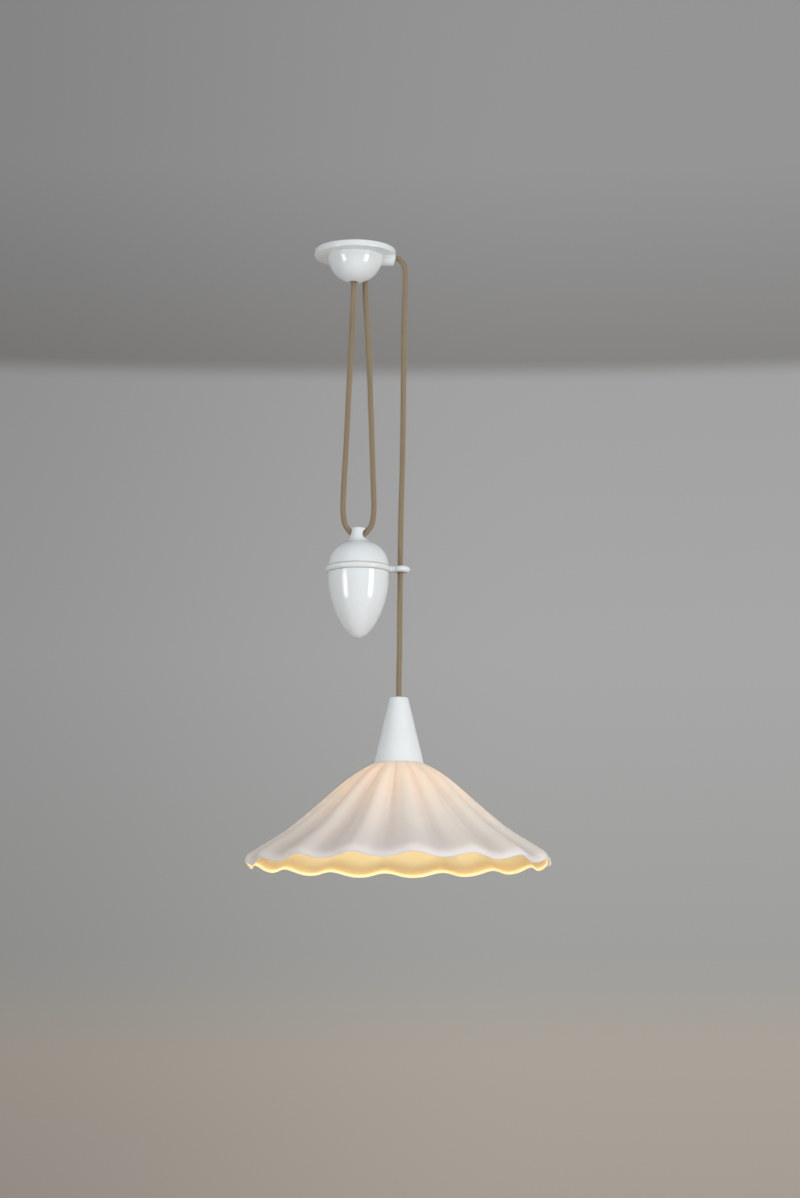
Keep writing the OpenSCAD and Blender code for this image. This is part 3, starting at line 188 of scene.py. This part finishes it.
# ---- Helpers for node materials ----
class Shader:
    """The node tree of a material or a world, with short calls for the nodes it needs."""

    def __init__(self, name, world=False):
        self.owner = (bpy.data.worlds if world else bpy.data.materials).new(name)
        self.owner.use_nodes = True
        self.tree = self.owner.node_tree
        self.tree.nodes.clear()
        self.output = self.add("ShaderNodeOutputWorld" if world else "ShaderNodeOutputMaterial")

    def add(self, kind, **settings):
        node = self.tree.nodes.new(kind)
        for key, value in settings.items():
            setattr(node, key, value)
        return node

    def put(self, value, socket):
        """Links a socket, or sets a constant on the input itself."""
        if isinstance(value, bpy.types.NodeSocket):
            self.tree.links.new(value, socket)
        else:
            socket.default_value = value

    def fill(self, node, **values):
        """Fills a node's inputs by name, with _ for a space."""
        for key, value in values.items():
            self.put(value, node.inputs[key.replace("_", " ")])
        return node

    def place(self):
        return self.add("ShaderNodeTexCoord").outputs["Object"]

    def uv(self, name):
        """Both coordinates of a UV map."""
        split = self.add("ShaderNodeSeparateXYZ")
        self.put(self.add("ShaderNodeUVMap", uv_map=name).outputs[0], split.inputs[0])
        return split.outputs[0], split.outputs[1]

    def math(self, operation, *values):
        node = self.add("ShaderNodeMath", operation=operation)
        for value, socket in zip(values, node.inputs):
            self.put(value, socket)
        return node.outputs[0]

    def mix(self, share, a, b, data_type="RGBA"):
        """Colour a where share is 0, b where it is 1."""
        node = self.add("ShaderNodeMix", data_type=data_type)
        return self.fill(node, Factor=share, A=a, B=b).outputs["Result"]

    def pick(self, share, a, b):
        """Number a where share is 0, b where it is 1."""
        return self.mix(share, a, b, "FLOAT")

    def layer(self, share, a, b):
        """Shader a where share is 0, b where it is 1."""
        node = self.add("ShaderNodeMixShader")
        for value, socket in zip((share, a, b), node.inputs):
            self.put(value, socket)
        return node.outputs[0]

    def noise(self, scale, detail=3.0):
        node = self.add("ShaderNodeTexNoise")
        return self.fill(node, Scale=scale, Detail=detail, Vector=self.place()).outputs["Fac"]

    def remap(self, value, start, end, low=0.0, high=1.0, kind="LINEAR"):
        """Low at start and high at end."""
        node = self.add("ShaderNodeMapRange", interpolation_type=kind)
        self.fill(node, Value=value, From_Min=start, From_Max=end, To_Min=low, To_Max=high)
        return node.outputs["Result"]

    def span(self, value, low, high):
        """Maps a value from 0..1 to low..high."""
        return self.remap(value, 0.0, 1.0, low, high)

    def ramp(self, value, start, end, low=0.0, high=1.0):
        """Low at start and high at end, smooth between them."""
        return self.remap(value, start, end, low, high, "SMOOTHSTEP")

    def bump(self, height, distance, strength=1.0):
        node = self.add("ShaderNodeBump")
        self.fill(node, Strength=strength, Distance=distance, Height=height)
        return node.outputs["Normal"]

    def principled(self, **values):
        return self.fill(self.add("ShaderNodeBsdfPrincipled"), **values).outputs[0]

    def finish(self, shader):
        self.put(shader, self.output.inputs["Surface"])
        return self.owner


def rgb(r, g, b):
    """Linear colour from a screen colour of 0..255."""
    def channel(c):
        c = c / 255
        return c / 12.92 if c <= 0.04045 else ((c + 0.055) / 1.055) ** 2.4
    return (channel(r), channel(g), channel(b), 1.0)


# ---- Finishes ----
def glazed_porcelain():
    """White glaze with a faint cloud, a slow ripple and a few specks."""
    s = Shader("glazed_porcelain")
    cloud = s.noise(9.0, 2.0)
    ripple = s.noise(38.0, 2.0)
    speck = s.math("GREATER_THAN", s.noise(900.0, 1.0), 0.80)
    colour = s.mix(cloud, rgb(225, 230, 232), rgb(231, 236, 237))
    gloss = s.principled(
        Base_Color=s.mix(speck, colour, rgb(214, 212, 206)),
        Roughness=s.span(ripple, 0.10, 0.17),
        Normal=s.bump(ripple, 0.00012, 0.5),
        IOR=1.52,
    )
    return s.finish(gloss)


def matte_porcelain():
    """The cone's unglazed porcelain."""
    s = Shader("matte_porcelain")
    grain = s.noise(1400.0, 2.0)
    body = s.principled(
        Base_Color=s.mix(s.noise(14.0), rgb(226, 231, 233), rgb(234, 237, 238)),
        Roughness=s.span(grain, 0.46, 0.60),
        Normal=s.bump(grain, 0.00006, 0.5),
    )
    return s.finish(body)


def bone_china():
    """China that lets the bulb's light through. Its colour holds painted shade in the flute
    valleys, a painted highlight along the outer rim and, inside, the bulb's warm light painted in,
    with painted shade towards the rim and a painted highlight on the inner lip.

    The map "Wall" counts flutes around in u, and in v goes from the crown (0) over the rim (1)
    to the crown again on the inside (2).
    """
    s = Shader("bone_china")
    around, along = s.uv("Wall")
    cloud = s.noise(11.0)
    grain = s.noise(700.0, 2.0)
    flute = s.math("COSINE", s.math("MULTIPLY", around, 2 * math.pi))
    valley = s.ramp(flute, 0.2, -1.0)
    painted_rim_highlight = s.ramp(along, 0.955, 1.0)
    painted_lip_highlight = s.ramp(along, 1.03, 1.015)
    painted_inner_rim_shade = s.ramp(along, 1.16, 1.03)
    is_inside = s.ramp(along, 1.0, 1.012)
    outside = s.mix(cloud, rgb(238, 234, 230), rgb(245, 241, 237))
    # painted shade: the outside darkens into the flute valleys
    outside = s.mix(valley, outside, rgb(232, 226, 224))
    # painted highlight: a cool white band along the outer rim
    outside = s.mix(painted_rim_highlight, outside, rgb(236, 238, 248))
    # the bulb's warm light painted into the inside: bright near the crown, with painted shade
    # towards the rim
    inside = s.mix(painted_inner_rim_shade, rgb(250, 243, 214), rgb(215, 197, 164))
    # painted highlight along the inner lip
    inside = s.mix(painted_lip_highlight, inside, rgb(254, 248, 228))
    body = s.principled(
        Base_Color=s.mix(is_inside, outside, inside),
        Roughness=s.span(grain, 0.34, 0.46),
        Normal=s.bump(grain, 0.00008, 0.4),
    )
    through = s.fill(
        s.add("ShaderNodeBsdfTranslucent"),
        Color=s.mix(cloud, rgb(246, 230, 200), rgb(250, 236, 208)),
    )
    return s.finish(s.layer(TRANSLUCENT_SHARE, body, through.outputs[0]))


def opal_glass():
    """The lit bulb."""
    s = Shader("opal_glass")
    globe = s.principled(
        Base_Color=rgb(250, 244, 230), Roughness=0.25,
        Emission_Color=(*BULB_COLOUR, 1.0), Emission_Strength=BULB_STRENGTH,
    )
    return s.finish(globe)


def cord_braid():
    """Two families of strands cross over and under each other; each strand has three yarns.

    The map "Braid" counts strands around in u, and strands along the cord in v.
    """
    s = Shader("cord_braid")
    around, along = s.uv("Braid")
    a = s.math("ADD", around, along)
    b = s.math("SUBTRACT", around, along)
    cell = s.math("ADD", s.math("FLOOR", a), s.math("FLOOR", b))
    first_on_top = s.math("LESS_THAN", s.math("PINGPONG", cell, 1.0), 0.5)
    share_a = s.math("FRACT", a)
    share_b = s.math("FRACT", b)
    across_strand = s.pick(first_on_top, share_b, share_a)
    along_strand = s.pick(first_on_top, share_a, share_b)

    def arch(share):
        return s.math("SINE", s.math("MULTIPLY", share, math.pi))

    yarn = arch(s.math("FRACT", s.math("MULTIPLY", across_strand, 3.0)))
    fibre = s.noise(2600.0)
    patch = s.noise(160.0, 2.0)
    strand = s.math("POWER", arch(across_strand), 1.2)
    knuckle = s.math("POWER", arch(along_strand), 0.8)
    # painted shade: the colour darkens where strands dip under each other and between the yarns
    shade = s.math("MULTIPLY", s.math("MULTIPLY", strand, knuckle), s.span(yarn, 0.8, 1.0))
    light = s.mix(patch, rgb(209, 188, 146), rgb(197, 174, 139))
    lit = s.math("MULTIPLY", shade, s.span(fibre, 0.8, 1.15))
    cloth = s.principled(
        Base_Color=s.mix(lit, rgb(66, 52, 34), light),
        Roughness=0.85,
        Normal=s.bump(s.math("ADD", yarn, s.span(fibre, 0.0, 0.6)), 0.00008, 0.8),
        Sheen_Weight=0.25,
        Sheen_Roughness=0.5,
    )
    return s.finish(cloth)


def metal(name, colour, roughness, grain_scale, metallic=1.0):
    """Grained surface, a little darker in the grain."""
    s = Shader(name)
    grain = s.noise(grain_scale, 4.0)
    shine = s.principled(
        Base_Color=s.mix(grain, colour, tuple(0.82 * c for c in colour[:3]) + (1.0,)),
        Roughness=s.span(grain, roughness - 0.07, roughness + 0.07),
        Normal=s.bump(grain, 0.00003, 0.4),
        Metallic=metallic,
    )
    return s.finish(shine)


def moulded(name, colour, roughness):
    return metal(name, colour, roughness, 520.0, metallic=0.0)


def cork():
    """Pressed cork of small cells."""
    s = Shader("cork")
    cells = s.fill(s.add("ShaderNodeTexVoronoi"), Scale=1100.0, Vector=s.place())
    distance = cells.outputs["Distance"]
    body = s.principled(
        Base_Color=s.mix(distance, rgb(216, 200, 174), rgb(168, 146, 116)),
        Roughness=0.9,
        Normal=s.bump(distance, 0.0001),
    )
    return s.finish(body)


def make_materials():
    """One material for each slot of the record."""
    return {
        "glazed_porcelain": glazed_porcelain(),
        "matte_porcelain": matte_porcelain(),
        "bone_china": bone_china(),
        "cord_braid": cord_braid(),
        "opal_glass": opal_glass(),
        "cork": cork(),
        "plated_steel": metal("plated_steel", rgb(190, 192, 196), 0.32, 420.0),
        "brass": metal("brass", rgb(206, 172, 98), 0.30, 420.0),
        "cast_weight": metal("cast_weight", rgb(120, 122, 126), 0.62, 160.0, 0.8),
        "black_plastic": moulded("black_plastic", rgb(34, 34, 36), 0.42),
        "white_nylon": moulded("white_nylon", rgb(232, 230, 220), 0.38),
        "brown_core": moulded("brown_core", rgb(112, 68, 42), 0.45),
        "blue_core": moulded("blue_core", rgb(48, 92, 168), 0.45),
        "earth_core": moulded("earth_core", rgb(116, 160, 58), 0.45),
    }


# ---- Meshes ----
def new_object(name, vertices, faces, material):
    """A smooth shaded piece with one finish."""
    mesh = bpy.data.meshes.new(name)
    mesh.from_pydata([tuple(v) for v in vertices], [], faces)
    mesh.materials.append(material)
    mesh.polygons.foreach_set("use_smooth", [True] * len(mesh.polygons))
    mesh.update()
    piece = bpy.data.objects.new(name, mesh)
    bpy.context.scene.collection.objects.link(piece)
    return piece


def add_uv(piece, name, corners):
    """A UV map from the coordinates of every corner of every face."""
    uv = piece.data.uv_layers.new(name=name)
    uv.data.foreach_set("uv", np.array(corners, np.float32).ravel())


def ring_corners(rings, around, order):
    """Corners (ring, place around it) of the faces between each ring and the next.

    The order of a face's corners is given as steps from the first: to the next ring, around.
    """
    return [
        [(i + to_next, k + on) for to_next, on in order]
        for i in range(rings) for k in range(around)
    ]


def unit(vectors):
    """The vectors at length 1."""
    return vectors / np.linalg.norm(vectors, axis=1)[:, None]


def distances_along(points):
    """Distance of each point from the first, along the line."""
    return np.concatenate([[0], np.cumsum(np.linalg.norm(np.diff(points, axis=0), axis=1))])


def curve_point(line, i, t):
    """Smooth curve through the points of a line, at point i plus the share t."""
    a = line[max(i - 1, 0)]
    b = line[i]
    c = line[i + 1]
    d = line[min(i + 2, len(line) - 1)]
    return 0.5 * (
        2 * b + (c - a) * t + (2 * a - 5 * b + 4 * c - d) * t**2
        + (3 * b - a - 3 * c + d) * t**3
    )


def even_path(route, step):
    """Points at even distances on a smooth curve through a route, and their distances."""
    route = np.array(route)
    fine = [curve_point(route, i, t) for i in range(len(route) - 1)
            for t in np.linspace(0, 1, CURVE_STEPS, endpoint=False)]
    fine = np.array(fine + [route[-1]])
    along = distances_along(fine)
    marks = np.linspace(0, along[-1], max(2, round(along[-1] / step) + 1))
    return np.stack([np.interp(marks, along, fine[:, k]) for k in range(3)], 1), marks


def braid_relief(a, b):
    """Height of the braid, 0..1: the strand on top is round across and arched along."""
    on_top = (np.floor(a) + np.floor(b)) % 2 < 0.5
    share_a, share_b = a % 1, b % 1
    across = np.where(on_top, share_a, share_b)
    along = np.where(on_top, share_b, share_a)
    strand = np.sqrt(np.sin(np.pi * across))
    return STRAND_SHARE * strand + (1 - STRAND_SHARE) * np.sin(np.pi * along)


def braided_tube(name, route, material, start):
    """Braided cord along a route. start is the length of the cord before it."""
    path, marks = even_path(route, CORD_STEP)
    heading = unit(np.gradient(path, axis=0))
    across = unit(np.cross([0, 1, 0], heading))
    side = np.cross(heading, across)
    turn = np.arange(CORD_SIDES) / CORD_SIDES
    lay = (start + marks) / BRAID_PITCH * CARRIERS
    a = turn[None] * CARRIERS + lay[:, None]
    b = turn[None] * CARRIERS - lay[:, None]
    radius = CORD_D / 2 - BRAID_RELIEF * (1 - braid_relief(a, b))
    angle = 2 * np.pi * turn
    ring = (
        across[:, None] * np.cos(angle)[None, :, None]
        + side[:, None] * np.sin(angle)[None, :, None]
    )
    vertices = (path[:, None] + ring * radius[:, :, None]).reshape(-1, 3)
    last = len(path) - 1
    corners = ring_corners(last, CORD_SIDES, ((0, 0), (0, 1), (1, 1), (1, 0)))
    faces = [[i * CORD_SIDES + k % CORD_SIDES for i, k in face] for face in corners]
    faces.append(range(CORD_SIDES - 1, -1, -1))
    faces.append(range(last * CORD_SIDES, (last + 1) * CORD_SIDES))
    piece = new_object(name, vertices, faces, material)
    wound = [(k / CORD_SIDES * CARRIERS, lay[i]) for face in corners for i, k in face]
    add_uv(piece, "Braid", wound + [(0.5, 0.5)] * (2 * CORD_SIDES))
    return piece, path, marks[-1]


def make_cords(material):
    """The cord from the terminals to the lamp, in the lengths that the joints move apart."""
    laid = 0.0
    made = {}
    for name, route in (
        ("cord_to_terminals", TERMINAL_ROUTE),
        ("cord_loop", LOOP_ROUTE),
        ("cord_over_wheel", OVER_WHEEL_ROUTE),
        ("cord_drop", DROP_ROUTE),
        ("cord_in_lamp", LAMP_ROUTE),
    ):
        piece, path, length = braided_tube("braided_" + name, route, material, laid)
        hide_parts(name)
        made[name] = (piece, path, length)
        laid += length
    for name, body in (
        ("cord_to_terminals", "root"), ("cord_over_wheel", "root"), ("cord_in_lamp", "lamp")
    ):
        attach(made[name][0], body)
    for name, body, start, end in (
        ("cord_loop", "counterweight", (0, 0, 0), (0, 0, -0.40)),
        ("cord_drop", "lamp", (0, 0, -0.04), (0, 0, -0.60)),
    ):
        piece, path, length = made[name]
        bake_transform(piece)


# ---- Shade ----
def wave(angle):
    """Height of the flutes at an angle from a ridge: 1 on a ridge, -1 in a valley."""
    return np.cos(FLUTES * angle) + RIDGE_POINT * (np.cos(2 * FLUTES * angle) - 1)


def crease(angle):
    """The same near the crown, where the ridges are broad and the valleys are creases."""
    return 2 * np.abs(np.cos(FLUTES * angle / 2)) ** CREASE_POWER - 1


def along_shade(values):
    """Values given at the ridge line's points, smoothed at every step from crown to rim."""
    steps = [(i, t / STEPS_PER_SPAN) for i in range(len(values) - 1) for t in range(STEPS_PER_SPAN)]
    return np.array([curve_point(values, i, t) for i, t in steps] + [values[-1]])


def shade_section():
    """The wall's section as (radius, depth), with each point's flute depth and crease.

    It runs from the crown's hole down the outside, over the rim and back up the inside. The
    last value is the place of the rim's middle in it.
    """
    points = along_shade(RIDGE_LINE)
    run = unit(np.gradient(points, axis=0))
    inward = np.stack([-run[:, 1], run[:, 0]], 1)
    half = SHADE_T / 2
    middle = points[-1] + inward[-1] * half
    lip = [
        middle - inward[-1] * half * math.cos(a) + run[-1] * half * math.sin(a)
        for a in np.linspace(0, math.pi, LIP_STEPS + 1)[1:-1]
    ]
    inner = (points + inward * SHADE_T)[:INNER_START:-1]
    crown_r = RIDGE_LINE[0][0]
    crown_top = [[CROWN_HOLE_R, 0], [crown_r - CROWN_EDGE[0], 0]]
    crown_underside = [[crown_r - CROWN_EDGE[1], CROWN_T], [CROWN_HOLE_R, CROWN_T]]
    section = np.vstack([crown_top, points, lip, inner, crown_underside])

    def round_the_wall(values):
        crown, rim = values[:1], values[-1:]
        return np.concatenate([
            crown.repeat(len(crown_top)), values, rim.repeat(len(lip)), values[:INNER_START:-1],
            crown.repeat(len(crown_underside)),
        ])[:, None]

    depth = round_the_wall(along_shade(FLUTE_DEPTHS))
    sharp = round_the_wall(along_shade(FLUTE_CREASES))
    return section, depth, sharp, len(crown_top) + len(points) + len(lip) // 2


def make_shade(material):
    """One closed wall of china, fluted all round."""
    section, depth, sharp, rim = shade_section()
    around = FLUTES * STEPS_PER_FLUTE
    angle = 2 * np.pi * np.arange(around) / around
    height = (1 - sharp) * wave(angle)[None] + sharp * crease(angle)[None]
    rise = depth / 2 * (height - 1)
    r = section[:, 0, None] + FLUTE_LEAN[0] * rise
    drop = section[:, 1, None] + FLUTE_LEAN[1] * rise
    facing = angle - math.pi / 2 + FLUTE_TURN
    x = LAMP_X + r * np.cos(facing)
    y = r * np.sin(facing)
    vertices = np.stack([x, y, CROWN_Z - drop], 2).reshape(-1, 3)
    rings = len(section)
    corners = ring_corners(rings, around, ((0, 0), (1, 0), (1, 1), (0, 1)))
    faces = [[i % rings * around + k % around for i, k in face] for face in corners]
    shade = new_object("fluted_shade", vertices, faces, material)
    along = distances_along(section)
    along = along / along[rim]
    wall = [(k / STEPS_PER_FLUTE, along[i % rings]) for face in corners for i, k in face]
    add_uv(shade, "Wall", wall)
    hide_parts("shade")
    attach(shade, "lamp")


# ---- Finishes of the CAD pieces ----
def dress_nodes(materials):
    """Gives each CAD piece its slot's finish, and smooth shading up to sharp edges."""
    for row in frame["record"]["subparts"]:
        node = nodes[row["node"]]
        for place in node.material_slots:
            place.material = materials[row["material_slot"]]
        node.data.polygons.foreach_set("use_smooth", [True] * len(node.data.polygons))
        weld = node.modifiers.new("weld", "WELD")
        weld.merge_threshold = WELD_DISTANCE
        edges = node.modifiers.new("edges", "EDGE_SPLIT")
        edges.split_angle = SHARP_ANGLE


# ---- Light and backdrop ----
def area_light(name, place, target, size, radiance, colour=(1, 1, 1), glossy=True):
    """Area light of an even radiance that looks at a point."""
    data = bpy.data.lights.new(name, "AREA")
    data.shape = "RECTANGLE"
    data.size, data.size_y = size
    data.energy = radiance * math.pi * size[0] * size[1]
    data.color = colour
    light = bpy.data.objects.new(name, data)
    light.location = place
    light.rotation_euler = (Vector(target) - Vector(place)).to_track_quat("-Z", "Y").to_euler()
    light.visible_camera = False
    light.visible_glossy = glossy
    bpy.context.scene.collection.objects.link(light)
    return light


def make_lights():
    for name, azimuth, distance, height, size, radiance, aim, glossy in SOFTBOXES:
        turn = math.radians(azimuth)
        place = (LAMP_X / 2 + distance * math.sin(turn), -distance * math.cos(turn), height)
        area_light(name, place, (LAMP_X / 2, 0, aim), size, radiance, glossy=glossy)
    bounce = area_light(
        "bounce_under_shade", (LAMP_X, 0, BOUNCE_Z), (LAMP_X, 0, 0), BOUNCE_SIZE,
        BOUNCE_RADIANCE, BOUNCE_COLOUR, glossy=False,
    )
    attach(bounce, "lamp")


def make_world():
    """A grey backdrop with a soft ceiling line, a little warmer low down and with painted shade
    darkening it towards the left, over an even fill.
    """
    s = Shader("studio", world=True)
    fill = s.fill(s.add("ShaderNodeBackground"), Color=FILL_COLOUR, Strength=FILL_STRENGTH)
    view = s.add("ShaderNodeSeparateXYZ")
    s.put(s.add("ShaderNodeTexCoord").outputs["Generated"], view.inputs[0])
    tones = s.add("ShaderNodeValToRGB")
    s.fill(tones, Fac=s.remap(view.outputs["Z"], *BACKDROP_SPAN))
    stops = tones.color_ramp.elements
    for share, tone in BACKDROP_TONES[1:-1]:
        stops.new(share)
    for stop, (share, tone) in zip(stops, BACKDROP_TONES):
        stop.position, stop.color = share, rgb(*tone)
    seen = s.fill(
        s.add("ShaderNodeBackground"),
        Color=tones.outputs["Color"], Strength=s.ramp(view.outputs["X"], *BACKDROP_FALL),
    )
    rays = s.add("ShaderNodeLightPath").outputs
    in_view = s.math("MAXIMUM", rays["Is Camera Ray"], rays["Is Glossy Ray"])
    in_view = s.math("MAXIMUM", in_view, rays["Is Transmission Ray"])
    bpy.context.scene.world = s.finish(s.layer(in_view, fill.outputs[0], seen.outputs[0]))


def make_floor():
    """A pale floor that thins out into the backdrop."""
    s = Shader("floor")
    base = s.fill(s.add("ShaderNodeBsdfDiffuse"), Color=rgb(205, 200, 193))
    clear = s.add("ShaderNodeBsdfTransparent")
    distance = s.add("ShaderNodeVectorMath", operation="LENGTH")
    s.put(s.place(), distance.inputs[0])
    gone = s.ramp(distance.outputs["Value"], *FLOOR_FADE)
    turns = [2 * math.pi * i / FLOOR_SIDES for i in range(FLOOR_SIDES)]
    mesh = bpy.data.meshes.new("floor")
    mesh.from_pydata(
        [(FLOOR_R * math.cos(a), FLOOR_R * math.sin(a), 0) for a in turns],
        [], [range(FLOOR_SIDES)],
    )
    mesh.materials.append(s.finish(s.layer(gone, base.outputs[0], clear.outputs[0])))
    floor = bpy.data.objects.new("floor", mesh)
    floor.location = (LAMP_X / 2, 0, FLOOR_Z)
    bpy.context.scene.collection.objects.link(floor)


make_camera()
materials = make_materials()
make_cords(materials["cord_braid"])
dress_nodes(materials)
make_shade(materials["bone_china"])
make_lights()
make_world()
make_floor()
bpy.context.scene.view_settings.view_transform = "Standard"

bpy.context.view_layer.update()
